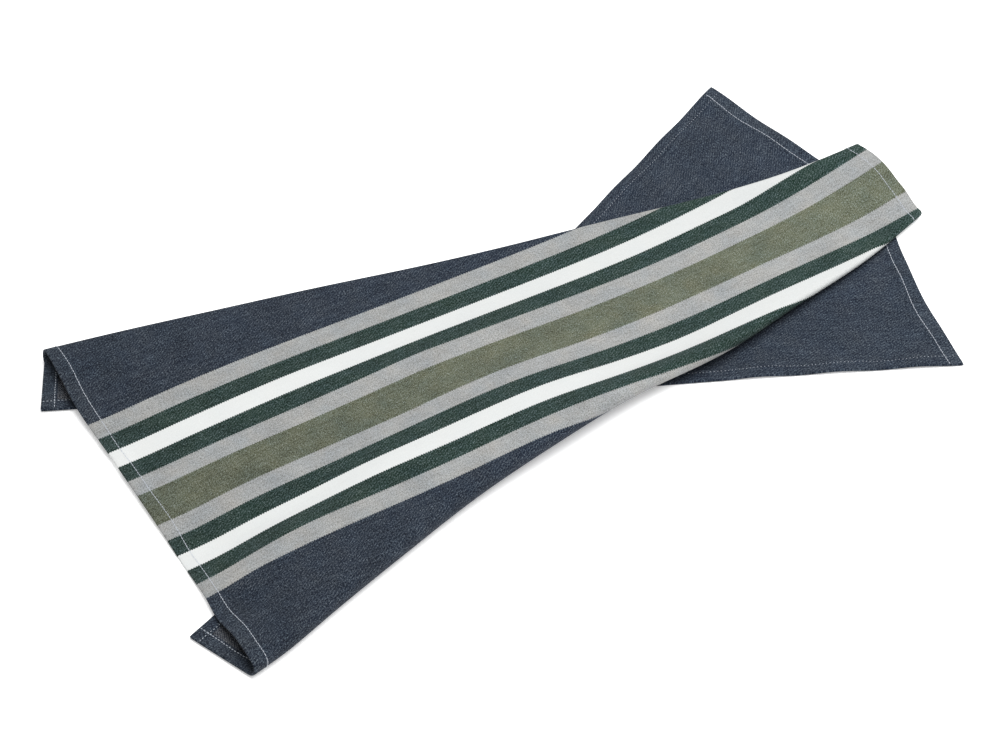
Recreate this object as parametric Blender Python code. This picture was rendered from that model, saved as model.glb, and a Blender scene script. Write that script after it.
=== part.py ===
import bmesh
import bpy
import numpy as np
from mathutils import Vector

# Tea towel, one hemmed woven sheet laid with both sides folded under and fanned out at the far end
# Lengths in the tables are millimetres, the object is built in metres
MM = 0.001
LENGTH = 700.0
WIDTH = 500.0
LIE_SHARE = 0.978

# Sheet thickness, half values are what the two faces are offset by
CLOTH = 1.5
HEM = 2.4
END_HEM_WIDTH = 11.0
SIDE_HEM_WIDTH = 9.5
HEM_STEP = 2.0

# Bend where a side panel turns back out under the strip
VALLEY_RADIUS = 1.4
FLAP_WIDTH = 9.5
FLAP_RISE = 6.0
TURN_BEFORE = 10.0
TURN_LENGTH = 40.0

# Grid of the sheet
STRIP_COLUMNS = 6
BEND_COLUMNS = 5
UNDER_COLUMNS = 4
VALLEY_COLUMNS = 4
HEM_LEAD = 2.0
NEAR_ROWS = 13
TURN_ROWS = 8
FAR_ROWS = 17
NEAR_FROM, NEAR_TO = -320.0, -80.0
TURN_FROM, TURN_TO = -72.0, -16.0
FAR_FROM, FAR_TO = 0.0, 320.0

# Stations along the towel, x is the place along its length
# bow is how far the middle stripe lies off the centre line
# fold_a and fold_b are the outer lines of the two long folds, each measured to its own side
# crest, mid and low are heights: on the fold, half way in, and under the fold
# pull_a and pull_b are how far each fold is drawn along the towel
STATION_COLUMNS = ("x", "bow", "fold_a", "crest_a", "low_a", "mid_a", "mid",
                   "mid_b", "low_b", "crest_b", "fold_b", "pull_a", "pull_b")
STATIONS = (
    (-343, 5.5, 187.0, 15.3, 3.0, 7.0, 4.4, 3.2, 2.0, 15.0, 173.4, 3.0, -4.5),
    (-320, 4.8, 183.0, 13.8, 3.0, 7.2, 5.0, 5.5, 2.0, 15.2, 168.6, 2.4, -3.0),
    (-280, 3.5, 174.5, 13.0, 3.0, 9.0, 8.5, 13.0, 2.0, 16.5, 157.0, 1.5, -2.0),
    (-200, 1.0, 156.2, 11.5, 2.6, 10.0, 11.0, 18.5, 2.4, 19.0, 134.5, 0.0, 0.0),
    (-120, -1.5, 138.8, 7.5, 2.2, 9.0, 13.5, 20.0, 4.5, 21.5, 114.5, 0.0, 0.0),
    (-40, -4.0, 119.0, 5.4, 2.2, 7.0, 13.5, 20.5, 12.0, 25.0, 103.0, 0.0, 0.0),
    (40, -9.0, 99.2, 6.6, 3.4, 7.5, 10.5, 13.0, 12.0, 20.0, 92.0, 0.0, 0.0),
    (120, -12.0, 81.2, 7.6, 3.8, 7.4, 10.0, 10.5, 7.0, 14.5, 88.0, 0.0, 0.0),
    (200, -11.5, 61.6, 10.5, 4.4, 9.2, 10.0, 11.0, 3.6, 13.0, 74.6, -1.0, 0.0),
    (270, -9.5, 46.6, 16.5, 7.5, 12.8, 11.0, 8.8, 3.5, 10.0, 60.8, -3.5, 0.0),
    (343, -4.5, 39.3, 22.0, 13.0, 20.5, 15.0, 8.5, 3.5, 7.0, 41.5, -8.0, 0.0),
)

# Where the side edge and the hidden inner fold of each panel lie on the surface
# corner is the near corner, turn is where the edge turns back out
# fold_end and fan_corner are at the far hem
# y is measured to the panel's own side, edge_bow and hem_bow are how far the fan's two edges curve in
PANEL_COLUMNS = ("corner_x", "corner_y", "turn_u", "turn_x", "turn_y", "fold_end_x", "fold_end_y",
                 "fan_corner_x", "fan_corner_y", "edge_bow", "hem_bow")
PANELS = {
    "a": (-366.0, 140.0, -60.0, -100.0, 11.0, 320.0, 15.0, 278.0, 170.0, 2.0, 1.5),
    "b": (-371.0, 116.0, -49.0, -80.0, 21.0, 326.0, 15.0, 281.0, 190.0, 3.0, 4.5),
}

NAVY = (0.045, 0.062, 0.098, 1.0)


def clear_scene():
    for thing in list(bpy.data.objects):
        bpy.data.objects.remove(thing, do_unlink=True)


def ease(value):
    part = min(max(value, 0.0), 1.0)
    return part * part * (3.0 - 2.0 * part)


def through(places, values, at, flat_ends=False):
    # Smooth curve through the given values, with level ends when asked
    count = len(places)
    slopes = []
    for i in range(count):
        before = max(i - 1, 0)
        after = min(i + 1, count - 1)
        slopes.append((values[after] - values[before]) / (places[after] - places[before]))
    if flat_ends:
        slopes[0] = 0.0
        slopes[-1] = 0.0
    index = 0
    while index < count - 2 and at > places[index + 1]:
        index += 1
    span = places[index + 1] - places[index]
    t = (at - places[index]) / span
    start = (1.0 + 2.0 * t) * (1.0 - t) ** 2 * values[index]
    end = t * t * (3.0 - 2.0 * t) * values[index + 1]
    lead = t * (1.0 - t) ** 2 * span * slopes[index]
    trail = t * t * (t - 1.0) * span * slopes[index + 1]
    return start + end + lead + trail


def station(name, x):
    column = STATION_COLUMNS.index(name)
    return through([row[0] for row in STATIONS], [row[column] for row in STATIONS], x)


def hem_share(from_edge, width):
    return 1.0 - ease((from_edge - width) / HEM_STEP)


def half_thickness(from_side, from_end):
    share = max(hem_share(from_side, SIDE_HEM_WIDTH), hem_share(from_end, END_HEM_WIDTH))
    return 0.5 * (CLOTH + (HEM - CLOTH) * share)


def strip_height(x, t):
    # Height of the upper strip, t runs from -1 at fold b to 1 at fold a
    names = ("crest_b", "mid_b", "mid", "mid_a", "crest_a")
    heights = [station(name, x) for name in names]
    return through((-1.0, -0.5, 0.0, 0.5, 1.0), heights, t, flat_ends=True)


def bend_centre(side, x):
    radius = 0.5 * (station("crest_" + side, x) - station("low_" + side, x))
    return station("fold_" + side, x) - radius, radius


def strip_points(side, u):
    # Upper strip from its middle out to where the fold begins
    sign = 1.0 if side == "a" else -1.0
    x = u * LIE_SHARE
    bow = sign * station("bow", x)
    centre, _ = bend_centre(side, x)
    points = []
    for i in range(1, STRIP_COLUMNS + 1):
        t = i / STRIP_COLUMNS
        pull = t * t * station("pull_" + side, x)
        points.append((x + pull, bow + t * (centre - bow), strip_height(x, sign * t)))
    return points


def bend_points(side, u):
    # Round fold at the side, the weft runs along it at a slant because the fold line is slanted
    x = u * LIE_SHARE
    step = 10.0
    centre, radius = bend_centre(side, x)
    slope = (bend_centre(side, x + step)[0] - bend_centre(side, x - step)[0]) / (2.0 * step)
    slant = np.arctan(slope)
    along = np.array((np.cos(slant), np.sin(slant)))
    across = np.array((-np.sin(slant), np.cos(slant)))
    crest = station("crest_" + side, x)
    start = x + station("pull_" + side, x)
    points = []
    for i in range(1, BEND_COLUMNS + 1):
        turn = np.pi * i / BEND_COLUMNS
        run = turn * radius / np.cos(slant)
        spot = np.array((start, centre)) + along * run * np.sin(slant) + across * radius * np.sin(turn)
        points.append((spot[0], spot[1], crest - radius * (1.0 - np.cos(turn))))
    return points


def under_points(side, u, foot, from_end):
    # Panel under the strip, the hidden fold, and the fan that comes back out on the surface
    panel = dict(zip(PANEL_COLUMNS, PANELS[side]))
    half = 0.5 * LENGTH
    floor = half_thickness(0.0, from_end)
    near = (u + half) / (panel["turn_u"] + half)
    far = (u - panel["turn_u"]) / (half - panel["turn_u"])
    corner = np.array((panel["corner_x"], panel["corner_y"]))
    vertex = np.array((panel["turn_x"], panel["turn_y"]))
    fold_end = np.array((panel["fold_end_x"], panel["fold_end_y"]))
    fan_corner = np.array((panel["fan_corner_x"], panel["fan_corner_y"]))
    heel = np.array(foot[:2])

    turned = ease((u - panel["turn_u"] + TURN_BEFORE) / TURN_LENGTH)
    angle = max(np.pi * turned, 0.001)
    arc = np.pi * VALLEY_RADIUS
    free_edge = corner + (vertex - corner) * near
    inward = (free_edge - heel) / np.linalg.norm(free_edge - heel)
    free_hinge = free_edge - inward * (FLAP_WIDTH + arc)
    fold_hinge = vertex + (fold_end - vertex) * far
    hinge = free_hinge + (fold_hinge - free_hinge) * turned
    inward = (hinge - heel) / np.linalg.norm(hinge - heel)
    rise = 2.0 * VALLEY_RADIUS * turned + FLAP_RISE * np.sin(np.pi * turned)
    top = floor + rise

    fan = fan_corner - fold_end
    reach = np.linalg.norm(fan)
    outward = fan / reach
    width = max(FLAP_WIDTH, reach * far - panel["edge_bow"] * np.sin(np.pi * far))
    length = np.linalg.norm(hinge - heel)
    # Each entry is x, y, height, distance from the side edge
    points = []
    lead = 1.0 - HEM_LEAD / length
    for i in range(1, UNDER_COLUMNS + 1):
        t = lead * i / (UNDER_COLUMNS - 1) if i < UNDER_COLUMNS else 1.0
        spot = heel + (hinge - heel) * t
        height = foot[2] + (top - foot[2]) * ease(t)
        points.append((spot[0], spot[1], height, width + arc + (1.0 - t) * length))
    radius = arc / angle
    for i in range(1, VALLEY_COLUMNS + 1):
        turn = angle * i / VALLEY_COLUMNS
        spot = hinge + inward * radius * np.sin(turn)
        height = top - radius * (1.0 - np.cos(turn))
        points.append((spot[0], spot[1], height, width + arc * (1.0 - i / VALLEY_COLUMNS)))
    start = np.array(points[-1][:2])
    start_height = points[-1][2]
    swing = np.cos(angle)
    direction = inward * swing if swing > 0.0 else -outward * swing
    inner = max(width - SIDE_HEM_WIDTH - HEM_STEP, 0.25 * width)
    hem_line = max(width - SIDE_HEM_WIDTH, 0.45 * width)
    for place in (inner / 3.0, 2.0 * inner / 3.0, inner, hem_line, width):
        spot = start + direction * place
        spot[0] -= panel["hem_bow"] * ease(2.0 * far - 1.0) * np.sin(np.pi * place / width)
        side_gap = width - place
        rest = half_thickness(side_gap, from_end)
        height = rest + (start_height - rest) * (1.0 - ease(3.0 * place / width)) if turned < 1.0 else rest
        points.append((spot[0], spot[1], height, side_gap))
    return points


def row_points(u):
    # One line across the cloth from edge b to edge a, as x, y, height, half thickness
    from_end = 0.5 * LENGTH - abs(u)
    plain = half_thickness(WIDTH, from_end)
    x = u * LIE_SHARE
    middle = (x, station("bow", x), station("mid", x), plain)
    halves = {}
    for side in ("a", "b"):
        sign = 1.0 if side == "a" else -1.0
        line = strip_points(side, u) + bend_points(side, u)
        half = [(p[0], sign * p[1], p[2], plain) for p in line]
        for p in under_points(side, u, line[-1], from_end):
            half.append((p[0], sign * p[1], p[2], half_thickness(p[3], from_end)))
        halves[side] = half
    return list(reversed(halves["b"])) + [middle] + halves["a"]


def row_places():
    end = 0.5 * LENGTH
    inner = end - END_HEM_WIDTH
    near = [-end, -inner, -inner + HEM_STEP]
    near += list(np.linspace(NEAR_FROM, NEAR_TO, NEAR_ROWS))
    turn = list(np.linspace(TURN_FROM, TURN_TO, TURN_ROWS))
    far = list(np.linspace(FAR_FROM, FAR_TO, FAR_ROWS))
    far += [inner - HEM_STEP, inner, end]
    return near + turn + far


def sheet_mesh():
    grid = np.array([row_points(u) for u in row_places()])
    middle = grid[:, :, :3]
    half = grid[:, :, 3:]
    along = np.gradient(middle, axis=0)
    across = np.gradient(middle, axis=1)
    normal = np.cross(along, across)
    normal /= np.linalg.norm(normal, axis=2, keepdims=True)
    front = middle + normal * half
    back = middle - normal * half
    both = np.stack((front, back))
    # Nothing reaches below the surface it lies on
    both[..., 2] = np.maximum(both[..., 2], 0.0)
    low = both.reshape(-1, 3).min(axis=0)
    high = both.reshape(-1, 3).max(axis=0)
    both -= np.array((0.5 * (low[0] + high[0]), 0.5 * (low[1] + high[1]), low[2]))
    return both * MM


def build_towel():
    both = sheet_mesh()
    rows, columns = both.shape[1:3]
    bm = bmesh.new()
    front = [[bm.verts.new(Vector(both[0, r, c])) for c in range(columns)] for r in range(rows)]
    back = [[bm.verts.new(Vector(both[1, r, c])) for c in range(columns)] for r in range(rows)]
    for r in range(rows - 1):
        for c in range(columns - 1):
            bm.faces.new((front[r][c], front[r + 1][c], front[r + 1][c + 1], front[r][c + 1]))
            bm.faces.new((back[r][c], back[r][c + 1], back[r + 1][c + 1], back[r + 1][c]))
    for r in range(rows - 1):
        bm.faces.new((front[r][0], back[r][0], back[r + 1][0], front[r + 1][0]))
        bm.faces.new((front[r][-1], front[r + 1][-1], back[r + 1][-1], back[r][-1]))
    for c in range(columns - 1):
        bm.faces.new((front[0][c], front[0][c + 1], back[0][c + 1], back[0][c]))
        bm.faces.new((front[-1][c], back[-1][c], back[-1][c + 1], front[-1][c + 1]))
    bmesh.ops.triangulate(bm, faces=bm.faces[:])
    bmesh.ops.recalc_face_normals(bm, faces=bm.faces[:])
    mesh = bpy.data.meshes.new("towel")
    bm.to_mesh(mesh)
    bm.free()
    towel = bpy.data.objects.new("towel", mesh)
    bpy.context.scene.collection.objects.link(towel)
    return towel


def cloth_material():
    material = bpy.data.materials.new("navy_cotton")
    material.use_nodes = True
    shader = material.node_tree.nodes["Principled BSDF"]
    shader.inputs["Base Color"].default_value = NAVY
    shader.inputs["Roughness"].default_value = 0.9
    return material


clear_scene()
towel = build_towel()
towel.data.materials.append(cloth_material())
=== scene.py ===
import math

import bpy
import numpy as np
from mathutils import Matrix, Vector


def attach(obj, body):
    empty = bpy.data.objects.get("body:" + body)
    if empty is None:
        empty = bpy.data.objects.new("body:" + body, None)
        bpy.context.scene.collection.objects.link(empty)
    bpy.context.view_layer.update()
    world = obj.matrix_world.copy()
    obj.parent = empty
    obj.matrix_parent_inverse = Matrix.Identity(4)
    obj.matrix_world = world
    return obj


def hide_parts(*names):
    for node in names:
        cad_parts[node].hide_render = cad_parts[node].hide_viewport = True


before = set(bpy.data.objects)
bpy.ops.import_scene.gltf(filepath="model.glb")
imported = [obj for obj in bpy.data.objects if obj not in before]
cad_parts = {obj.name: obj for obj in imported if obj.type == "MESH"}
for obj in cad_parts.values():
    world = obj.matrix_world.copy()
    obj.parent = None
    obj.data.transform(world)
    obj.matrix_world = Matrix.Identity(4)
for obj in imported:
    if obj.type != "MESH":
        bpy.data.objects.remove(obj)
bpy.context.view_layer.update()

# Sizes of the cloth, in millimetres
MM = 0.001
LENGTH = 700.0
WIDTH = 500.0
HALF_LENGTH = 0.5 * LENGTH
HALF_WIDTH = 0.5 * WIDTH
# Length of the lying strip as a share of its flat length: its low waves take up the rest
LIE_SHARE = 0.978
# Place of the frame's origin in the coordinates of the tables below
ORIGIN = (-14.251, -1.056)

# Cloth thickness: the front is nearly flat over a hem, the turned layers stand out at the back
CLOTH = 1.1
HEM_FRONT = 0.15
HEM_BACK = 0.8
END_HEM = 11.0
SIDE_HEM = 9.5
HEM_STEP = 1.2
# Cloth on the floor slopes down from its hem, from a little inside the hem's inner edge
HEM_SLOPE = 9.0
HEM_SLOPE_INSET = 2.0
# Distance of the sewn lines from the edge
END_STITCH = 10.0
SIDE_STITCH = 8.3

# Hidden fold where a side panel turns back out under the strip, and the flap that turns over first
VALLEY_RADIUS = 1.3
FLAP_WIDTH = 9.5
FLAP_RISE = 6.0
TURN_BEFORE = 10.0
TURN_LENGTH = 40.0
LEAST_TURN = 0.001
# Share of its width in which a panel that is still turning comes down to the floor
FLAP_SETTLES = 1.0 / 3.0

# Very low folds on the bare part of each fan
FAN_WAVE_HEIGHT = 1.6
FAN_WAVE_ACROSS = 9.5
FAN_WAVE_ALONG = 17.0
# They begin this far past the strip's fold and past this place along the cloth, and grow from there
FAN_WAVE_GAP = 6.0
FAN_WAVE_GROWTH_ACROSS = 20.0
FAN_WAVE_START = -40.0
FAN_WAVE_GROWTH_ALONG = 175.0

# Columns of the grid in each half of the cloth, from the middle out, and rows between the end hems
STRIP_COLUMNS = 46
BEND_COLUMNS = 14
UNDER_COLUMNS = 14
VALLEY_COLUMNS = 8
FAN_COLUMNS = 26
STEP_COLUMNS = 4
HEM_COLUMNS = 5
BODY_ROWS = 180
FIRST_FAN_COLUMN = STRIP_COLUMNS + BEND_COLUMNS + UNDER_COLUMNS + VALLEY_COLUMNS + 1
# Where a fan is hardly wider than its hem, the hem's columns begin at these shares of its width
NARROW_STEP = 0.25
NARROW_HEM = 0.45

# Sections across the lying towel, each at its x
# Bow and fold say how far to the side the middle line and the outer edge of each fold lie
# Crest, mid and low are heights: over a fold, of the strip, and at the foot of a fold's bend
# Pull is how far the cloth at a fold is drawn along the towel
STATION_COLUMNS = ("x", "bow", "fold_a", "crest_a", "low_a", "mid_a", "mid",
                   "mid_b", "low_b", "crest_b", "fold_b", "pull_a", "pull_b")
STATIONS = (
    (-343, 5.5, 187.0, 15.3, 3.0, 7.0, 4.4, 3.2, 1.8, 15.0, 173.4, 3.0, -4.5),
    (-320, 4.8, 183.0, 13.8, 3.0, 7.2, 5.0, 5.5, 1.8, 15.2, 168.6, 2.4, -3.0),
    (-280, 3.5, 174.5, 13.0, 3.0, 9.0, 8.5, 13.5, 2.0, 16.5, 157.0, 1.5, -2.0),
    (-200, 1.0, 156.2, 11.5, 2.6, 10.0, 11.0, 18.5, 2.4, 19.0, 134.5, 0.0, 0.0),
    (-120, -1.5, 138.8, 7.5, 2.2, 8.2, 13.5, 20.0, 4.5, 21.5, 115.5, 0.0, 0.0),
    (-40, -4.0, 119.0, 5.0, 2.0, 6.0, 13.5, 20.5, 12.0, 26.0, 105.3, 0.0, 0.0),
    (40, -9.0, 99.2, 6.0, 2.6, 7.0, 10.5, 13.5, 12.0, 24.0, 95.3, 0.0, 0.0),
    (120, -12.0, 81.2, 7.5, 3.2, 7.2, 10.0, 11.0, 9.0, 19.0, 91.2, 0.0, 0.0),
    (200, -11.5, 61.6, 10.5, 4.2, 9.2, 10.0, 11.0, 7.5, 14.2, 76.7, -1.0, 0.0),
    (270, -9.5, 46.6, 16.5, 7.5, 12.8, 11.0, 8.5, 5.4, 10.0, 63.4, -3.5, 1.0),
    (343, -4.5, 39.3, 22.0, 13.0, 20.5, 15.0, 8.0, 3.0, 6.5, 41.5, -8.0, 2.0),
)
# The slant of a fold line is measured between places this far before and after a section
SLANT_STEP = 10.0

# Soft ridges and troughs pressed into the strip, each a smooth swell about one place on the cloth
# Height raises the cloth there and pull draws it along the towel
WAVE_COLUMNS = ("x", "v", "half_length", "half_width", "height", "pull")
WAVES = (
    (-55, 34, 120, 14, 3.0, 0.0),
    (-270, -56, 60, 18, -4.0, 0.0),
    (-250, -82, 50, 14, 2.0, 0.0),
    (-220, -32, 80, 12, -1.5, 0.0),
    (-175, -62, 50, 14, 2.0, 0.0),
    (-305, -97, 26, 14, 3.0, 0.0),
    (-343, -120, 36, 18, -3.0, -2.0),
    (-343, 118, 40, 36, -1.5, -2.0),
    (130, 15, 130, 9, -1.5, 0.0),
    (130, -16, 160, 9, 2.2, 0.0),
    (343, -15, 30, 12, 4.0, 0.0),
    (100, -50, 50, 12, -2.0, 0.0),
    (65, -63, 75, 11, -3.8, 0.0),
    (-15, -50, 40, 16, 1.8, 0.0),
    (60, -33, 60, 12, 1.6, 0.0),
    (-95, 26, 30, 14, 1.8, 0.0),
    (-190, 57, 50, 14, 1.7, 0.0),
    (-130, -18, 40, 12, -1.4, 0.0),
    (-232, -54, 40, 14, -1.6, 0.0),
    (225, 49, 32, 12, -2.0, 0.0),
    (300, -38, 30, 14, -1.6, 0.0),
)
# Power by which the waves die out towards a fold
WAVE_FADE = 8

# Side panels: the near corner lies under the strip, and the free edge runs from it to the turn
# There, at turn_u on the cloth, the hidden fold begins that ends at fold_end
# Past it the panel comes back out, as far as the fan's corner
# The bows are how much the fan's side edge and its end hem curve in
PANELS = {
    "a": {
        "corner": (-366.0, 140.0),
        "turn_u": -60.0,
        "turn": (-100.0, 11.0),
        "fold_end": (320.0, 15.0),
        "fan_corner": (278.0, 170.0),
        "edge_bow": 2.0,
        "hem_bow": 1.5,
    },
    "b": {
        "corner": (-371.0, 116.0),
        "turn_u": -49.0,
        "turn": (-80.0, 21.0),
        "fold_end": (326.0, 15.0),
        "fan_corner": (281.0, 190.0),
        "edge_bow": 3.0,
        "hem_bow": 6.5,
    },
}


def ease(value):
    # Smooth step from 0 to 1
    part = np.clip(value, 0.0, 1.0)
    return part * part * (3.0 - 2.0 * part)


def unit(vector):
    return vector / np.linalg.norm(vector)


def spline(places, values, at, flat_ends=False):
    # Smooth curve through the given values, natural or with level ends
    x = np.asarray(places, float)
    y = np.asarray(values, float)
    at = np.asarray(at, float)
    count = len(x)
    gap = np.diff(x)
    rise = np.diff(y) / gap
    matrix = np.zeros((count, count))
    right = np.zeros(count)
    for i in range(1, count - 1):
        matrix[i, i - 1] = gap[i - 1]
        matrix[i, i] = 2.0 * (gap[i - 1] + gap[i])
        matrix[i, i + 1] = gap[i]
        right[i] = 6.0 * (rise[i] - rise[i - 1])
    if flat_ends:
        matrix[0, :2] = (2.0 * gap[0], gap[0])
        matrix[-1, -2:] = (gap[-1], 2.0 * gap[-1])
        right[0] = 6.0 * rise[0]
        right[-1] = -6.0 * rise[-1]
    else:
        matrix[0, 0] = 1.0
        matrix[-1, -1] = 1.0
    bend = np.linalg.solve(matrix, right)
    i = np.clip(np.searchsorted(x, at) - 1, 0, count - 2)
    a = (x[i + 1] - at) / gap[i]
    b = (at - x[i]) / gap[i]
    curve = ((a ** 3 - a) * bend[i] + (b ** 3 - b) * bend[i + 1]) * gap[i] ** 2 / 6.0
    return a * y[i] + b * y[i + 1] + curve


def station(name, x):
    column = STATION_COLUMNS.index(name)
    return spline([row[0] for row in STATIONS], [row[column] for row in STATIONS], x)


def waves(name, x, v):
    total = 0.0
    for row in WAVES:
        wave = dict(zip(WAVE_COLUMNS, row))
        along = (x - wave["x"]) / wave["half_length"]
        across = (v - wave["v"]) / wave["half_width"]
        total = total + wave[name] * np.exp(-(along ** 2 + across ** 2))
    return total


def hem_share(from_edge, width):
    # 1 in a hem, 0 beyond its step
    return 1.0 - ease((from_edge - width) / HEM_STEP)


def slope_share(from_edge, width):
    # 1 on a hem, falling gently to 0 beside it
    return 1.0 - ease((from_edge - width + HEM_SLOPE_INSET) / HEM_SLOPE)


def floor_height(side_gap, end_gap):
    # Height of the middle of cloth that lies on the floor and on its hems
    slopes = np.maximum(slope_share(side_gap, SIDE_HEM), slope_share(end_gap, END_HEM))
    hems = np.maximum(hem_share(side_gap, SIDE_HEM), hem_share(end_gap, END_HEM))
    return 0.5 * CLOTH + HEM_BACK * np.maximum(slopes, hems)


def bend_centre(side, x):
    radius = 0.5 * (station("crest_" + side, x) - station("low_" + side, x))
    return station("fold_" + side, x) - radius, radius


def strip_heights(side, x, ts):
    # Heights at shares ts of the way from the middle to a fold, on a curve from fold to fold
    other = "b" if side == "a" else "a"
    names = ("crest_" + other, "mid_" + other, "mid", "mid_" + side, "crest_" + side)
    heights = np.array([station(name, x) for name in names])
    places = (-1.0, -0.5, 0.0, 0.5, 1.0)
    basis = np.array([spline(places, row, ts, True) for row in np.eye(len(places))])
    return heights.T @ basis


def bend_points(crest_point, radius, slope):
    # Half turn down from the crest, square to a fold line that slants across the towel
    start_x, start_y, top, start_v = crest_point
    slant = math.atan(slope)
    points = []
    for i in range(1, BEND_COLUMNS + 1):
        turn = math.pi * i / BEND_COLUMNS
        slide = turn * radius * slope
        out = radius * math.sin(turn)
        x = start_x + math.cos(slant) * slide - math.sin(slant) * out
        y = start_y + math.sin(slant) * slide + math.cos(slant) * out
        points.append((x, y, top - radius * (1.0 - math.cos(turn)), start_v + turn * radius))
    return points


def under_points(panel, u, foot):
    # Panel under the strip, the hidden fold, and the fan that comes back out on the surface
    end_gap = HALF_LENGTH - abs(u)
    near = (u + HALF_LENGTH) / (panel["turn_u"] + HALF_LENGTH)
    far = (u - panel["turn_u"]) / (HALF_LENGTH - panel["turn_u"])
    corner = np.array(panel["corner"])
    vertex = np.array(panel["turn"])
    fold_end = np.array(panel["fold_end"])
    fan_corner = np.array(panel["fan_corner"])
    heel = np.array(foot[:2])
    turned = float(ease((u - panel["turn_u"] + TURN_BEFORE) / TURN_LENGTH))
    angle = max(math.pi * turned, LEAST_TURN)
    arc = math.pi * VALLEY_RADIUS

    # The hinge goes from beside the free edge over to the hidden fold
    free_edge = corner + (vertex - corner) * near
    free_hinge = free_edge - unit(free_edge - heel) * (FLAP_WIDTH + arc)
    fold_hinge = vertex + (fold_end - vertex) * far
    hinge = free_hinge + (fold_hinge - free_hinge) * turned
    inward = unit(hinge - heel)
    rise = 2.0 * VALLEY_RADIUS * turned + FLAP_RISE * math.sin(math.pi * turned)
    top = float(floor_height(WIDTH, end_gap)) + rise

    reach = np.linalg.norm(fan_corner - fold_end)
    outward = (fan_corner - fold_end) / reach
    width = max(FLAP_WIDTH, reach * far - panel["edge_bow"] * math.sin(math.pi * far))
    from_v = foot[3]
    to_v = HALF_WIDTH - width - arc
    points = []
    for i in range(1, UNDER_COLUMNS + 1):
        t = i / UNDER_COLUMNS
        spot = heel + (hinge - heel) * t
        height = foot[2] + (top - foot[2]) * float(ease(t))
        points.append((spot[0], spot[1], height, from_v + (to_v - from_v) * t))
    radius = arc / angle
    for i in range(1, VALLEY_COLUMNS + 1):
        turn = angle * i / VALLEY_COLUMNS
        spot = hinge + inward * radius * math.sin(turn)
        height = top - radius * (1.0 - math.cos(turn))
        points.append((spot[0], spot[1], height, to_v + arc * i / VALLEY_COLUMNS))
    swing = math.cos(angle)
    direction = inward * swing if swing > 0.0 else -outward * swing
    hem_bow = panel["hem_bow"] * float(ease(2.0 * far - 1.0))
    return points + fan_points(points[-1], direction, width, hem_bow, turned, end_gap)


def fan_points(start, direction, width, hem_bow, turned, end_gap):
    # From the hidden fold out to the side edge, down on the floor once the panel has turned over
    inner = max(width - SIDE_HEM - HEM_STEP, NARROW_STEP * width)
    hem_line = max(width - SIDE_HEM, NARROW_HEM * width)
    places = list(np.linspace(0.0, inner, FAN_COLUMNS + 1)[1:])
    places += list(np.linspace(inner, hem_line, STEP_COLUMNS + 1)[1:])
    places += list(np.linspace(hem_line, width, HEM_COLUMNS + 1)[1:])
    points = []
    for place in places:
        spot = np.array(start[:2]) + direction * place
        spot[0] -= hem_bow * math.sin(math.pi * place / width)
        height = float(floor_height(width - place, end_gap))
        if turned < 1.0:
            height += (start[2] - height) * (1.0 - float(ease(place / (FLAP_SETTLES * width))))
        points.append((spot[0], spot[1], height, HALF_WIDTH - width + place))
    return points


def raise_fan_waves(rows, side, us):
    fan = rows[:, FIRST_FAN_COLUMN:]
    place = np.abs(fan[..., 1])
    past_fold = place - station("fold_" + side, fan[..., 0]) - FAN_WAVE_GAP
    bare = ease(past_fold / FAN_WAVE_GROWTH_ACROSS)
    grown = ease((us - FAN_WAVE_START) / FAN_WAVE_GROWTH_ALONG)[:, None]
    phase = place / FAN_WAVE_ACROSS + fan[..., 0] / FAN_WAVE_ALONG
    fan[..., 2] += FAN_WAVE_HEIGHT * bare * grown * (0.5 + 0.5 * np.sin(phase))


def side_grid(side, us):
    # Rows of points from the middle out to the side edge: x, y, z, and the place across the flat cloth
    sign = 1.0 if side == "a" else -1.0
    x = us * LIE_SHARE
    bow = sign * station("bow", x)
    pull = station("pull_" + side, x)
    centre, radius = bend_centre(side, x)
    change = bend_centre(side, x + SLANT_STEP)[0] - bend_centre(side, x - SLANT_STEP)[0]
    slope = change / (2.0 * SLANT_STEP)
    ts = np.linspace(0.0, 1.0, STRIP_COLUMNS + 1)
    across = ts * (centre - bow)[:, None]
    fade = 1.0 - ts ** WAVE_FADE
    heights = strip_heights(side, x, ts) + waves("height", x[:, None], sign * across) * fade
    places = x[:, None] + ts * ts * pull[:, None] + waves("pull", x[:, None], sign * across) * fade
    strip = np.stack((places, bow[:, None] + across, heights, across), -1)

    rows = []
    for r, u in enumerate(us):
        points = list(strip[r])
        points += bend_points(points[-1], radius[r], slope[r])
        points += under_points(PANELS[side], u, points[-1])
        rows.append([(p[0], sign * p[1], p[2], sign * p[3]) for p in points])
    rows = np.array(rows)
    raise_fan_waves(rows, side, us)
    return rows


def row_places():
    # Places of the rows along the flat cloth, closest together at the hems' steps
    step = np.linspace(0.0, HEM_STEP, STEP_COLUMNS + 1)
    near = list(np.linspace(-HALF_LENGTH, -HALF_LENGTH + END_HEM, HEM_COLUMNS + 1))
    near += list(-HALF_LENGTH + END_HEM + step[1:])
    inner = HALF_LENGTH - END_HEM - HEM_STEP
    body = list(np.linspace(-inner, inner, BODY_ROWS + 1)[1:-1])
    return np.array(near + body + [-place for place in reversed(near)])


def grid_normals(points):
    normal = np.cross(np.gradient(points, axis=0), np.gradient(points, axis=1))
    return normal / np.linalg.norm(normal, axis=2, keepdims=True)


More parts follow.
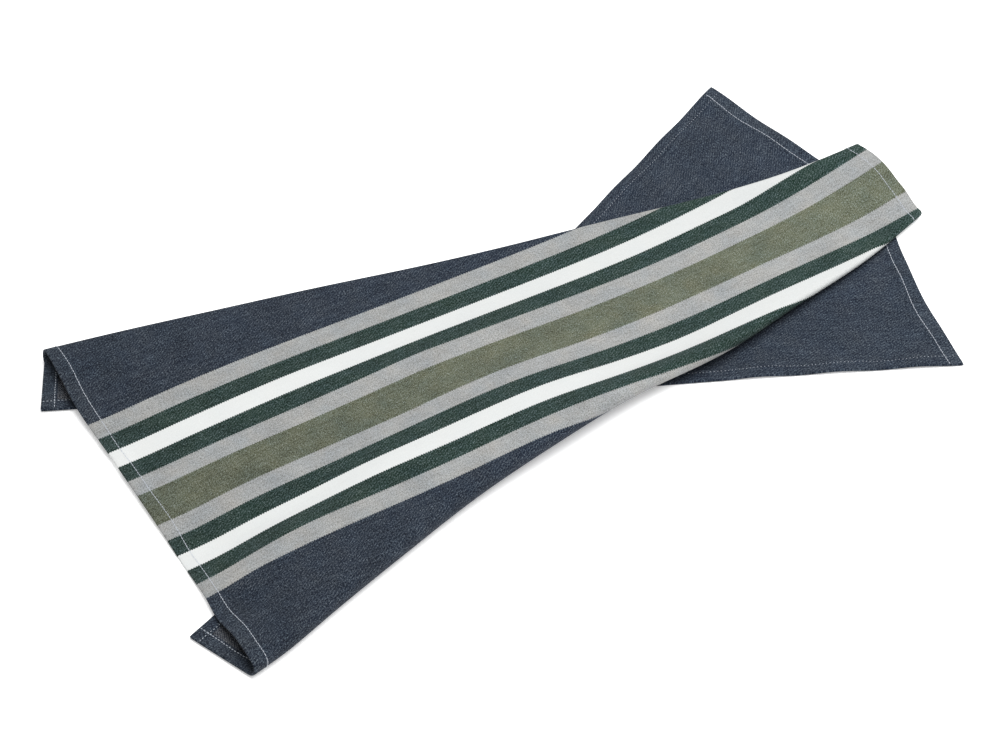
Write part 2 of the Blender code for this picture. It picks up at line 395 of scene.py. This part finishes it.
# The sheet: the middle of its thickness, and where each point is on the flat cloth
US = row_places()
GRID = np.concatenate((side_grid("b", US)[:, :0:-1], side_grid("a", US)), axis=1)
MIDDLE = GRID[:, :, :3]
NORMALS = grid_normals(MIDDLE)
ACROSS = GRID[:, :, 3]
ALONG = np.repeat(US[:, None], GRID.shape[1], axis=1)
GAP_END = HALF_LENGTH - np.abs(ALONG)
GAP_SIDE = HALF_WIDTH - np.abs(ACROSS)

# Its two faces
HEMS = np.maximum(hem_share(GAP_SIDE, SIDE_HEM), hem_share(GAP_END, END_HEM))
FRONT_HALF = 0.5 * CLOTH + HEM_FRONT * HEMS
BACK_HALF = 0.5 * CLOTH + HEM_BACK * HEMS
FRONT = 1
BACK = -1
FACES = {
    FRONT: MIDDLE + NORMALS * FRONT_HALF[..., None],
    BACK: MIDDLE - NORMALS * BACK_HALF[..., None],
}

# Rings of points that round off the edge of the cloth
RIM_STEPS = 3
# On the back, the front's colours show on a hem and this far onto its step
HEM_SHOWS = 0.6 * HEM_STEP


def to_frame(points):
    # From millimetres in the tables' coordinates to the frame's metres, nowhere under the floor
    moved = np.array(points, float)
    moved[..., 0] -= ORIGIN[0]
    moved[..., 1] -= ORIGIN[1]
    moved[..., 2] = np.maximum(moved[..., 2], 0.0)
    return moved * MM


def link(obj):
    bpy.context.scene.collection.objects.link(obj)
    return obj


def cell_corners(grid):
    # The four corners of every cell of a grid, in order round the cell
    return grid[:-1, :-1], grid[1:, :-1], grid[1:, 1:], grid[:-1, 1:]


def rim_path(rows, columns):
    # Rows and columns of the points round the edge of the grid, in order
    rim = [(0, c) for c in range(columns - 1)]
    rim += [(r, columns - 1) for r in range(rows - 1)]
    rim += [(rows - 1, c) for c in range(columns - 1, 0, -1)]
    rim += [(r, 0) for r in range(rows - 1, 0, -1)]
    return tuple(np.array(rim).T)


def rim_rings(rim):
    # Rounded edge, ring by ring from the front face to the back
    rows, columns = ACROSS.shape
    mid = MIDDLE[rim]
    ahead = np.roll(mid, -1, axis=0) - np.roll(mid, 1, axis=0)
    out = np.cross(NORMALS[rim], ahead)
    out /= np.linalg.norm(out, axis=1, keepdims=True)
    inside = MIDDLE[np.clip(rim[0], 1, rows - 2), np.clip(rim[1], 1, columns - 2)] - mid
    out *= -np.sign(np.sum(out * inside, axis=1, keepdims=True))
    top = FRONT_HALF[rim][:, None]
    low = BACK_HALF[rim][:, None]
    rings = []
    for k in range(1, RIM_STEPS + 1):
        turn = math.pi * k / (RIM_STEPS + 1)
        lift = 0.5 * (top - low) + 0.5 * (top + low) * math.cos(turn)
        spread = 0.5 * (top + low) * math.sin(turn)
        rings.append(mid + NORMALS[rim] * lift + out * spread)
    return rings


def build_cloth():
    rows, columns = ACROSS.shape
    total = rows * columns
    index = np.arange(total).reshape(rows, columns)
    flat = np.stack((ALONG, ACROSS, np.zeros(ACROSS.shape)), -1)
    points = [FACES[FRONT].reshape(-1, 3), FACES[BACK].reshape(-1, 3)]
    places = [flat.reshape(-1, 3)] * 2
    quads = np.stack(cell_corners(index), -1).reshape(-1, 4)
    faces = [quads, quads[:, ::-1] + total]
    in_end_hem = 0.25 * sum(cell_corners(GAP_END)) < END_HEM + HEM_SHOWS
    in_side_hem = 0.25 * sum(cell_corners(GAP_SIDE)) < SIDE_HEM + HEM_SHOWS
    kinds = [np.zeros(len(quads), int), np.where(in_end_hem | in_side_hem, 0, 1).reshape(-1)]

    rim = rim_path(rows, columns)
    rings = [index[rim]]
    count = 2 * total
    for ring in rim_rings(rim):
        points.append(ring)
        places.append(flat[rim])
        rings.append(np.arange(count, count + len(ring)))
        count += len(ring)
    rings.append(index[rim] + total)
    for upper, lower in zip(rings, rings[1:]):
        faces.append(np.stack((upper, np.roll(upper, -1), np.roll(lower, -1), lower), -1))
        kinds.append(np.zeros(len(upper), int))

    mesh = bpy.data.meshes.new("tea_towel_cloth")
    mesh.from_pydata(to_frame(np.concatenate(points)).tolist(), [], np.concatenate(faces).tolist())
    mesh.polygons.foreach_set("material_index", np.concatenate(kinds).astype(np.int32))
    mesh.polygons.foreach_set("use_smooth", np.ones(len(mesh.polygons), bool))
    cloth_place = mesh.attributes.new("cloth", "FLOAT_VECTOR", "POINT")
    cloth_place.data.foreach_set("vector", np.concatenate(places).astype(np.float32).ravel())
    mesh.update()
    return link(bpy.data.objects.new("tea_towel_cloth", mesh))


# Sewing thread, in millimetres
THREAD_SIDES = 6
THREAD_RINGS = 5
# How much of its radius a thread is pressed in, and how much its fullest part is raised
THREAD_PRESSED = 0.6
THREAD_LIFT = 0.02
# A stitch stays full almost to its ends, by this power, and keeps a little thickness there
STITCH_FULLNESS = 4
STITCH_END = 0.02
# How far a stitch may be off its place, and the range of its length
STITCH_SHIFT = 0.12
STITCH_LENGTHS = (0.88, 1.08)
# Rows of stitches: face of the cloth, stitch, gap, how deep they sink, radius of the thread
END_SEAMS = (
    (FRONT, 2.9, -0.1, 0.0, 0.27),
    (BACK, 2.5, 0.4, 0.12, 0.28),
)
SIDE_SEAMS = (
    (FRONT, 1.0, 1.9, 0.05, 0.2),
    (BACK, 2.0, 0.9, 0.12, 0.22),
)
# Sewn lines wander in a slow and a quick wave: the height of each, and how slow it is
END_WANDER = ((0.6, 23.0), (0.35, 9.0))
SIDE_WANDER = ((0.3, 31.0), (0.2, 11.0))
END_PHASE = 1.3
SIDE_PHASE = 1.0
END_LINE_POINTS = 101
SIDE_LINE_POINTS = 141
TINY = 1e-6
random = np.random.default_rng(7)


def on_cloth(us, vs, face):
    # Place and normal on one face of the sheet for points given on the flat cloth
    surface = FACES[face]
    row = np.interp(us, US, np.arange(len(US)))
    low = np.clip(row.astype(int), 0, len(US) - 2)
    part = row - low
    spots = np.zeros((len(us), 3))
    ups = np.zeros((len(us), 3))
    for i in range(len(us)):
        for r, weight in ((low[i], 1.0 - part[i]), (low[i] + 1, part[i])):
            column = np.interp(vs[i], ACROSS[r], np.arange(ACROSS.shape[1]))
            c = min(int(column), ACROSS.shape[1] - 2)
            side = column - c
            spots[i] += weight * ((1.0 - side) * surface[r, c] + side * surface[r, c + 1])
            ups[i] += weight * face * ((1.0 - side) * NORMALS[r, c] + side * NORMALS[r, c + 1])
    return spots, ups / np.linalg.norm(ups, axis=1, keepdims=True)


def safe_units(vectors):
    return vectors / np.maximum(np.linalg.norm(vectors, axis=1, keepdims=True), TINY)


def seam(us, vs, face, stitch, gap, sink, radius):
    # Stitches as short rounded threads along a line on the flat cloth
    lengths = np.concatenate(([0.0], np.cumsum(np.hypot(np.diff(us), np.diff(vs)))))
    count = int(lengths[-1] / (stitch + gap))
    verts = []
    faces = []
    shares = np.linspace(0.0, 1.0, THREAD_RINGS)
    for k in range(count):
        first = k * (stitch + gap) + random.uniform(-STITCH_SHIFT, STITCH_SHIFT)
        size = stitch * random.uniform(*STITCH_LENGTHS)
        at = np.clip(first + size * shares, 0.0, lengths[-1])
        spots, ups = on_cloth(np.interp(at, lengths, us), np.interp(at, lengths, vs), face)
        side = safe_units(np.cross(safe_units(np.gradient(spots, axis=0)), ups))
        side_shift = random.uniform(-STITCH_SHIFT, STITCH_SHIFT)
        base = len(verts)
        for j, share in enumerate(shares):
            swell = math.sqrt(max(1.0 - (2.0 * share - 1.0) ** STITCH_FULLNESS, STITCH_END))
            lift = swell * (radius + THREAD_LIFT) - sink - radius * THREAD_PRESSED
            middle = spots[j] + side[j] * side_shift + ups[j] * lift
            for i in range(THREAD_SIDES):
                turn = 2.0 * math.pi * i / THREAD_SIDES
                outward = side[j] * math.cos(turn) + ups[j] * math.sin(turn)
                verts.append(middle + radius * swell * outward)
        for j in range(THREAD_RINGS - 1):
            ring = base + j * THREAD_SIDES
            above = ring + THREAD_SIDES
            for i in range(THREAD_SIDES):
                after = (i + 1) % THREAD_SIDES
                faces.append((ring + i, ring + after, above + after, above + i))
        faces.append(tuple(base + i for i in reversed(range(THREAD_SIDES))))
        last = base + (THREAD_RINGS - 1) * THREAD_SIDES
        faces.append(tuple(last + i for i in range(THREAD_SIDES)))
    return verts, faces


def wander(places, swings, phase):
    (slow, slow_scale), (quick, quick_scale) = swings
    return slow * np.sin(places / slow_scale + phase) + quick * np.sin(places / quick_scale)


def build_threads():
    verts = []
    faces = []

    def sew(us, vs, seams):
        for row in seams:
            base = len(verts)
            made_verts, made_faces = seam(us, vs, *row)
            verts.extend(made_verts)
            faces.extend(tuple(base + i for i in face) for face in made_faces)

    across = np.linspace(-HALF_WIDTH, HALF_WIDTH, END_LINE_POINTS)
    for end in (-1.0, 1.0):
        from_middle = HALF_LENGTH - END_STITCH + wander(across, END_WANDER, END_PHASE * end)
        sew(end * from_middle, across, END_SEAMS)
    along = np.linspace(-HALF_LENGTH, HALF_LENGTH, SIDE_LINE_POINTS)
    for side in (-1.0, 1.0):
        from_middle = HALF_WIDTH - SIDE_STITCH + wander(along, SIDE_WANDER, SIDE_PHASE * side)
        sew(along, side * from_middle, SIDE_SEAMS)
    mesh = bpy.data.meshes.new("hem_stitching")
    mesh.from_pydata(to_frame(verts).tolist(), [], faces)
    mesh.polygons.foreach_set("use_smooth", np.ones(len(mesh.polygons), bool))
    mesh.update()
    return link(bpy.data.objects.new("hem_stitching", mesh))


def srgb(red, green, blue):
    def linear(level):
        part = level / 255.0
        return part / 12.92 if part <= 0.04045 else ((part + 0.055) / 1.055) ** 2.4
    return (linear(red), linear(green), linear(blue), 1.0)


# Colours of the yarns
NAVY = srgb(20, 29, 44)
GREEN = srgb(13, 39, 29)
GREY = srgb(146, 147, 146)
OLIVE = srgb(86, 90, 71)
WHITE = srgb(201, 203, 202)
WEFT = srgb(112, 121, 126)
BACK_WEFT = srgb(138, 139, 140)
THREAD = srgb(205, 210, 218)
THREAD_SHADE = srgb(150, 156, 168)

# Stripes from the middle of the cloth out, each with how strongly its yarns differ
# The middle one is twice as wide, and the last goes on to the edge
STRIPE = 16.28
STRIPES = (
    (OLIVE, 1.15),
    (GREY, 0.75),
    (GREEN, 1.1),
    (WHITE, 0.1),
    (GREEN, 1.1),
    (GREY, 0.75),
    (NAVY, 1.05),
)

# Weave, in millimetres
WARP_PITCH = 0.62
WEFT_PITCH = 1.04
TWILL_REPEAT = 4.0
# Unit direction of the twill lines on the flat cloth
TWILL_U = 0.859
TWILL_V = 0.512
# Yarns sway sideways, more slowly along themselves than from one to the next
# Stripe edges sway with the weft by a share of that
SWAY_RATE = 0.35
SWAY_SLOWNESS = 0.02
EDGE_SWAY = 0.25

# Noises of the yarns: rate in the first and the second direction, detail, and weight
# Marks follow the twill lines, and the others the length and width of the cloth
YARN_NOISES = {
    "marks": (0.65, 1.35, 2.0, 3.4),
    "specks": (1.7, 1.7, 2.0, 2.6),
    "heather": (0.12, 1.2, 3.0, 0.8),
    "streaks": (0.045, 0.4, 2.0, 0.7),
    "slub": (0.9, 0.1, 3.0, 0.6),
    "fine": (3.2, 3.2, 2.0, 1.2),
}
# Wide patches, and blotches on a layer of noise of their own
BROAD_RATE = 0.03
BLOTCH_RATE = 0.07
BLOTCH_LAYER = 7.0

# Lightness of the dye: how much the yarns and the wide patches change it, and the least it gets
LEVEL_YARNS = 0.8
LEVEL_BROAD = 0.6
LEVEL_LEAST = 0.25
# Painted sheen and shade towards the far end: lively stripes get lighter with painted sheen, and the
# calm one a little darker with painted shade
FAR_SHEEN_AND_SHADE = 0.3
FAR_SHEEN_AND_SHADE_TURNS_AT = 0.65
FAR_SHEEN_AND_SHADE_LEAST = -0.2
# Uneven dye: how much warmer or cooler the patches are
WARM_BLOTCH = 0.16
WARM_BROAD = 0.1

# How much of the weft's colour shows on the front: everywhere, where it passes over, and in end hems
FRONT_WEFT = 0.035
FRONT_WEFT_OVER = 0.14
FRONT_WEFT_HEM = 0.03
FRONT_HEM_EDGE = 1.0
# On the back: everywhere, and on the floats
BACK_WEFT_SHARE = 0.1
BACK_WEFT_FLOAT = 0.6
# How much the uneven yarns change it
WEFT_YARNS = 0.3

# Relief of the yarns and of the seams
YARN_ROUNDNESS = 0.6
WEFT_RELIEF = 0.8
FINE_RELIEF = 0.35
UNEVEN_RELIEF = 0.6
PUCKER_RELIEF = 5.0
PUCKER_REACH = 7.0
PUCKER_RATES = (0.22, 0.05)
GROOVE_RELIEF = 1.2
GROOVE_REACH = 0.9
# Strength, and height in metres
CLOTH_BUMP = (0.5, 0.00025)

# Finish of the cloth, which the fine noise roughens
ROUGHNESS = 0.8
FINE_ROUGHNESS = 0.14
CLOTH_FINISH = {
    "Specular IOR Level": 0.12,
    "Sheen Weight": 0.05,
    "Sheen Roughness": 0.55,
    "Sheen Tint": (0.85, 0.88, 0.95, 1.0),
}

# Sewing thread: its ply and its uneven tone, and how much each shades it
PLY_SCALE = 900.0
PLY_DISTORTION = 1.5
PLY_SHADE = 0.35
TONE_SCALE = 60.0
TONE_SHADE = 0.4
THREAD_BUMP = (0.3, 0.0001)
THREAD_ROUGHNESS = 0.6

# Sockets of a mix node, for numbers and for colours
NUMBER_FACTOR, NUMBER_A, NUMBER_B, NUMBER_RESULT = 0, 2, 3, 0
COLOUR_A, COLOUR_B, COLOUR_RESULT = 6, 7, 2


class Graph:
    # Short ways to add nodes to a material
    def __init__(self, name):
        self.material = bpy.data.materials.new(name)
        self.material.use_nodes = True
        self.nodes = self.material.node_tree.nodes
        self.links = self.material.node_tree.links
        self.shader = self.nodes["Principled BSDF"]

    def put(self, value, socket):
        if hasattr(value, "links"):
            self.links.new(value, socket)
        else:
            socket.default_value = value

    def finish(self, settings):
        for name, value in settings.items():
            self.put(value, self.shader.inputs[name])

    def math(self, operation, first, second=0.0, third=0.0, clamp=False):
        node = self.nodes.new("ShaderNodeMath")
        node.operation = operation
        node.use_clamp = clamp
        for value, socket in zip((first, second, third), node.inputs):
            self.put(value, socket)
        return node.outputs[0]

    def mix_numbers(self, share, first, second):
        node = self.nodes.new("ShaderNodeMix")
        node.data_type = "FLOAT"
        self.put(share, node.inputs[NUMBER_FACTOR])
        self.put(first, node.inputs[NUMBER_A])
        self.put(second, node.inputs[NUMBER_B])
        return node.outputs[NUMBER_RESULT]

    def mix(self, share, first, second, blend="MIX"):
        node = self.nodes.new("ShaderNodeMix")
        node.data_type = "RGBA"
        node.blend_type = blend
        self.put(share, node.inputs["Factor"])
        self.put(first, node.inputs[COLOUR_A])
        self.put(second, node.inputs[COLOUR_B])
        return node.outputs[COLOUR_RESULT]

    def vector(self, x, y, z=0.0):
        node = self.nodes.new("ShaderNodeCombineXYZ")
        for value, socket in zip((x, y, z), node.inputs):
            self.put(value, socket)
        return node.outputs[0]

    def noise(self, vector, scale, detail=2.0):
        node = self.nodes.new("ShaderNodeTexNoise")
        node.inputs["Scale"].default_value = scale
        node.inputs["Detail"].default_value = detail
        self.links.new(vector, node.inputs["Vector"])
        return node.outputs["Fac"]

    def stretched_noise(self, x, y, rate_x, rate_y, detail=2.0):
        place = self.vector(self.math("MULTIPLY", x, rate_x), self.math("MULTIPLY", y, rate_y))
        return self.noise(place, 1.0, detail)

    def bump(self, height, strength, distance):
        node = self.nodes.new("ShaderNodeBump")
        node.inputs["Strength"].default_value = strength
        node.inputs["Distance"].default_value = distance
        self.links.new(height, node.inputs["Height"])
        self.links.new(node.outputs["Normal"], self.shader.inputs["Normal"])


def flat_place(graph):
    # Place on the flat cloth, along and across it
    place = graph.nodes.new("ShaderNodeAttribute")
    place.attribute_name = "cloth"
    split = graph.nodes.new("ShaderNodeSeparateXYZ")
    graph.links.new(place.outputs["Vector"], split.inputs[0])
    return split.outputs[0], split.outputs[1]


def sway(graph, x, y):
    return graph.math("SUBTRACT", graph.noise(graph.vector(x, y), SWAY_RATE), 0.5)


def stripes(graph, across, order):
    # One colour for each stripe, counted from the middle of the cloth
    ramp = graph.nodes.new("ShaderNodeValToRGB")
    ramp.color_ramp.interpolation = "CONSTANT"
    span = len(order) + 1.0
    elements = ramp.color_ramp.elements
    elements[0].position = 0.0
    elements[0].color = order[0]
    elements[1].position = 1.0 / span
    elements[1].color = order[1]
    for i in range(2, len(order)):
        element = elements.new(i / span)
        element.color = order[i]
    graph.put(graph.math("DIVIDE", across, STRIPE * span), ramp.inputs["Fac"])
    return ramp.outputs["Color"]


def striped_warp(graph, v, weft, weft_sway):
    # Colour and liveliness of the warp, in stripes whose edges step with the weft
    step = graph.math("SUBTRACT", graph.math("PINGPONG", weft, 1.0), 0.5)
    across = graph.math("MULTIPLY_ADD", weft_sway, EDGE_SWAY, graph.math("ADD", v, step))
    across = graph.math("ABSOLUTE", across)
    colour = stripes(graph, across, [colour for colour, _ in STRIPES])
    lively = stripes(graph, across, [(value, value, value, 1.0) for _, value in STRIPES])
    return colour, lively


def uneven_yarns(graph, u, v):
    # All the yarns' noises added up around zero, and the fine one by itself
    line = graph.math("MULTIPLY_ADD", v, TWILL_V, graph.math("MULTIPLY", u, TWILL_U))
    beside = graph.math("MULTIPLY_ADD", v, TWILL_U, graph.math("MULTIPLY", u, -TWILL_V))
    total = -0.5 * sum(weight for _, _, _, weight in YARN_NOISES.values())
    made = {}
    for name, (first_rate, second_rate, detail, weight) in YARN_NOISES.items():
        first, second = (line, beside) if name == "marks" else (u, v)
        made[name] = graph.stretched_noise(first, second, first_rate, second_rate, detail)
        total = graph.math("MULTIPLY_ADD", made[name], weight, total)
    return total, made["fine"]


def dye_sheen_and_shade_level(graph, u, lively, uneven, broad):
    patches = graph.math("MULTIPLY_ADD", broad, LEVEL_BROAD, -0.5 * LEVEL_BROAD)
    level = graph.math("MULTIPLY_ADD", uneven, LEVEL_YARNS, patches)
    level = graph.math("MULTIPLY_ADD", level, lively, 1.0)
    # Painted sheen towards the far end lightens the lively stripes, and painted shade darkens the calm
    # white one
    sheen_and_shade = graph.math("MAXIMUM", graph.math("SUBTRACT", lively, FAR_SHEEN_AND_SHADE_TURNS_AT), FAR_SHEEN_AND_SHADE_LEAST)
    level = graph.math("MULTIPLY_ADD", sheen_and_shade, graph.math("MULTIPLY", u, FAR_SHEEN_AND_SHADE / HALF_LENGTH), level)
    return graph.math("MAXIMUM", level, LEVEL_LEAST)


def front_weft(graph, weft_up, uneven, end_gap, lively):
    share = graph.math("MULTIPLY_ADD", uneven, WEFT_YARNS, FRONT_WEFT)
    share = graph.math("MULTIPLY_ADD", weft_up, FRONT_WEFT_OVER, share)
    in_hem = graph.math("SUBTRACT", END_HEM + FRONT_HEM_EDGE, end_gap, clamp=True)
    share = graph.math("MULTIPLY_ADD", in_hem, FRONT_WEFT_HEM, share)
    return graph.math("MULTIPLY", share, lively, clamp=True)


def back_weft(graph, u_yarn, v_yarn, uneven):
    # Light floats of the weft stand in staggered rows
    rows = graph.math("SINE", graph.math("MULTIPLY", u_yarn, math.pi / WEFT_PITCH))
    columns = graph.math("SINE", graph.math("MULTIPLY", v_yarn, 0.5 * math.pi / WARP_PITCH))
    floats = graph.math("MAXIMUM", graph.math("MULTIPLY", rows, columns), 0.0)
    share = graph.math("MULTIPLY_ADD", uneven, WEFT_YARNS, BACK_WEFT_SHARE)
    return graph.math("MULTIPLY_ADD", floats, BACK_WEFT_FLOAT, share, clamp=True)


def bulge(graph, yarn):
    # Rounded top of each yarn
    wave = graph.math("SINE", graph.math("MULTIPLY", graph.math("FRACT", yarn), math.pi))
    return graph.math("POWER", wave, YARN_ROUNDNESS)


def seam_relief(graph, height, gap, along_hem, stitch):
    # Puckers beside the hem stitching, and the groove it pulls
    off = graph.math("ABSOLUTE", graph.math("SUBTRACT", gap, stitch))
    near = graph.math("SUBTRACT", 1.0, graph.math("DIVIDE", off, PUCKER_REACH), clamp=True)
    pucker = graph.stretched_noise(along_hem, gap, *PUCKER_RATES)
    height = graph.math("MULTIPLY_ADD", graph.math("MULTIPLY", near, pucker), PUCKER_RELIEF, height)
    groove = graph.math("SUBTRACT", 1.0, graph.math("DIVIDE", off, GROOVE_REACH), clamp=True)
    return graph.math("MULTIPLY_ADD", groove, -GROOVE_RELIEF, height)


def weave_material(name, weft_faced):
    graph = Graph(name)
    u, v = flat_place(graph)
    end_gap = graph.math("SUBTRACT", HALF_LENGTH, graph.math("ABSOLUTE", u))
    side_gap = graph.math("SUBTRACT", HALF_WIDTH, graph.math("ABSOLUTE", v))
    warp_sway = sway(graph, graph.math("MULTIPLY", u, SWAY_SLOWNESS), v)
    weft_sway = sway(graph, u, graph.math("MULTIPLY", v, SWAY_SLOWNESS))
    v_yarn = graph.math("ADD", v, warp_sway)
    u_yarn = graph.math("ADD", u, weft_sway)
    warp = graph.math("DIVIDE", v_yarn, WARP_PITCH)
    weft = graph.math("DIVIDE", u_yarn, WEFT_PITCH)

    # Twill: each weft passes over one warp in four, stepping one warp along at each weft
    cell = graph.math("SUBTRACT", graph.math("FLOOR", warp), graph.math("FLOOR", weft))
    phase = graph.math("FRACT", graph.math("DIVIDE", cell, TWILL_REPEAT))
    weft_up = graph.math("LESS_THAN", phase, 0.5 / TWILL_REPEAT)
    if weft_faced:
        weft_up = graph.math("SUBTRACT", 1.0, weft_up)

    warp_colour, lively = striped_warp(graph, v, weft, weft_sway)
    uneven, fine = uneven_yarns(graph, u, v)
    broad = graph.noise(graph.vector(u, v), BROAD_RATE)
    blotch = graph.noise(graph.vector(v, u, BLOTCH_LAYER), BLOTCH_RATE)
    if weft_faced:
        colour = graph.mix(back_weft(graph, u_yarn, v_yarn, uneven), warp_colour, BACK_WEFT)
    else:
        colour = graph.mix(front_weft(graph, weft_up, uneven, end_gap, lively), warp_colour, WEFT)

    # Lightness of the dye, with painted sheen and shade towards the far end, and its warmer and cooler
    # patches
    level = dye_sheen_and_shade_level(graph, u, lively, uneven, broad)
    warm = graph.math("MULTIPLY_ADD", broad, WARM_BROAD, -0.5 * (WARM_BLOTCH + WARM_BROAD))
    warm = graph.math("MULTIPLY_ADD", blotch, WARM_BLOTCH, warm)
    warm = graph.math("MULTIPLY", warm, lively)
    red = graph.math("MULTIPLY", level, graph.math("ADD", 1.0, warm))
    blue = graph.math("MULTIPLY", level, graph.math("SUBTRACT", 1.0, warm))
    colour = graph.mix(1.0, colour, graph.vector(red, level, blue), "MULTIPLY")

    # Rounded yarns raised over the ones they cross
    weft_top = graph.math("MULTIPLY", bulge(graph, weft), WEFT_RELIEF)
    height = graph.mix_numbers(weft_up, bulge(graph, warp), weft_top)
    height = graph.math("MULTIPLY_ADD", uneven, UNEVEN_RELIEF, height)
    height = graph.math("MULTIPLY_ADD", fine, FINE_RELIEF, height)
    height = seam_relief(graph, height, end_gap, v, END_STITCH)
    height = seam_relief(graph, height, side_gap, u, SIDE_STITCH)
    graph.bump(height, *CLOTH_BUMP)
    rough = graph.math("MULTIPLY_ADD", fine, FINE_ROUGHNESS, ROUGHNESS)
    graph.finish({"Base Color": colour, "Roughness": rough, **CLOTH_FINISH})
    return graph.material


def thread_material():
    graph = Graph("sewing_thread")
    place = graph.nodes.new("ShaderNodeTexCoord").outputs["Object"]
    wave = graph.nodes.new("ShaderNodeTexWave")
    wave.inputs["Scale"].default_value = PLY_SCALE
    wave.inputs["Distortion"].default_value = PLY_DISTORTION
    graph.links.new(place, wave.inputs["Vector"])
    ply = wave.outputs["Fac"]
    tone = graph.noise(place, TONE_SCALE)
    share = graph.math("MULTIPLY_ADD", ply, PLY_SHADE, graph.math("MULTIPLY", tone, TONE_SHADE))
    graph.bump(ply, *THREAD_BUMP)
    colour = graph.mix(share, THREAD, THREAD_SHADE)
    graph.finish({"Base Color": colour, "Roughness": THREAD_ROUGHNESS})
    return graph.material


cloth = build_cloth()
cloth.data.materials.append(weave_material("striped_twill_front", False))
cloth.data.materials.append(weave_material("striped_twill_back", True))
threads = build_threads()
threads.data.materials.append(thread_material())

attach(cloth, "root")
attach(threads, "root")
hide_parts("towel")

# Floor, a little under the cloth, and light, in metres
FLOOR_SIZE = 12.0
FLOOR_DROP = 0.0004
FLOOR_FINISH = {
    "Base Color": (0.96, 0.96, 0.96, 1.0),
    "Roughness": 0.9,
    "Emission Color": (1.0, 1.0, 1.0, 1.0),
    "Emission Strength": 0.3,
    "Specular IOR Level": 0.1,
}
SKY_COLOUR = (1.0, 1.0, 1.0, 1.0)
SKY_STRENGTH = 0.47
KEY_PLACE = (0.5, -0.3, 2.5)
KEY_SIZE = 2.6
KEY_POWER = 90.0

# Camera: angles in degrees, distances in metres, sensor and lens in millimetres
AZIMUTH = -31.377
ELEVATION = 49.0
ROLL = 0.4
DISTANCE = 3.1585
TARGET = (-0.02445, -0.01021, 0.0)
SENSOR = 36.0
LENS = 144.08
CLIP_START = 0.05
CLIP_END = 60.0


def build_floor():
    edge = 0.5 * FLOOR_SIZE
    corners = [(-edge, -edge, 0), (edge, -edge, 0), (edge, edge, 0), (-edge, edge, 0)]
    mesh = bpy.data.meshes.new("floor")
    mesh.from_pydata(corners, [], [(0, 1, 2, 3)])
    look = Graph("pale_floor")
    look.finish(FLOOR_FINISH)
    mesh.materials.append(look.material)
    made = link(bpy.data.objects.new("floor", mesh))
    made.location.z = -FLOOR_DROP
    return made


def build_sky():
    world = bpy.data.worlds.new("studio")
    world.use_nodes = True
    background = world.node_tree.nodes["Background"]
    background.inputs["Color"].default_value = SKY_COLOUR
    background.inputs["Strength"].default_value = SKY_STRENGTH
    return world


def build_key_light():
    data = bpy.data.lights.new("key", "AREA")
    data.shape = "DISK"
    data.size = KEY_SIZE
    data.energy = KEY_POWER
    lamp = link(bpy.data.objects.new("key", data))
    lamp.location = KEY_PLACE
    lamp.rotation_mode = "QUATERNION"
    lamp.rotation_quaternion = (-Vector(KEY_PLACE)).to_track_quat("-Z", "Y")


def build_camera():
    az, el, roll = (math.radians(value) for value in (AZIMUTH, ELEVATION, ROLL))
    back_way = Vector((math.sin(az) * math.cos(el), -math.cos(az) * math.cos(el), math.sin(el)))
    right = (-back_way).cross(Vector((0.0, 0.0, 1.0))).normalized()
    up = right.cross(-back_way)
    right_way = right * math.cos(roll) + up * math.sin(roll)
    up_way = up * math.cos(roll) - right * math.sin(roll)
    data = bpy.data.cameras.new("camera")
    data.sensor_width = SENSOR
    data.lens = LENS
    data.clip_start = CLIP_START
    data.clip_end = CLIP_END
    made = link(bpy.data.objects.new("camera", data))
    turn = Matrix((right_way, up_way, back_way)).transposed().to_4x4()
    made.matrix_world = Matrix.Translation(Vector(TARGET) + back_way * DISTANCE) @ turn
    return made


floor = build_floor()
bpy.context.scene.view_settings.view_transform = "Standard"
bpy.context.scene.world = build_sky()
build_key_light()
bpy.context.scene.camera = build_camera()
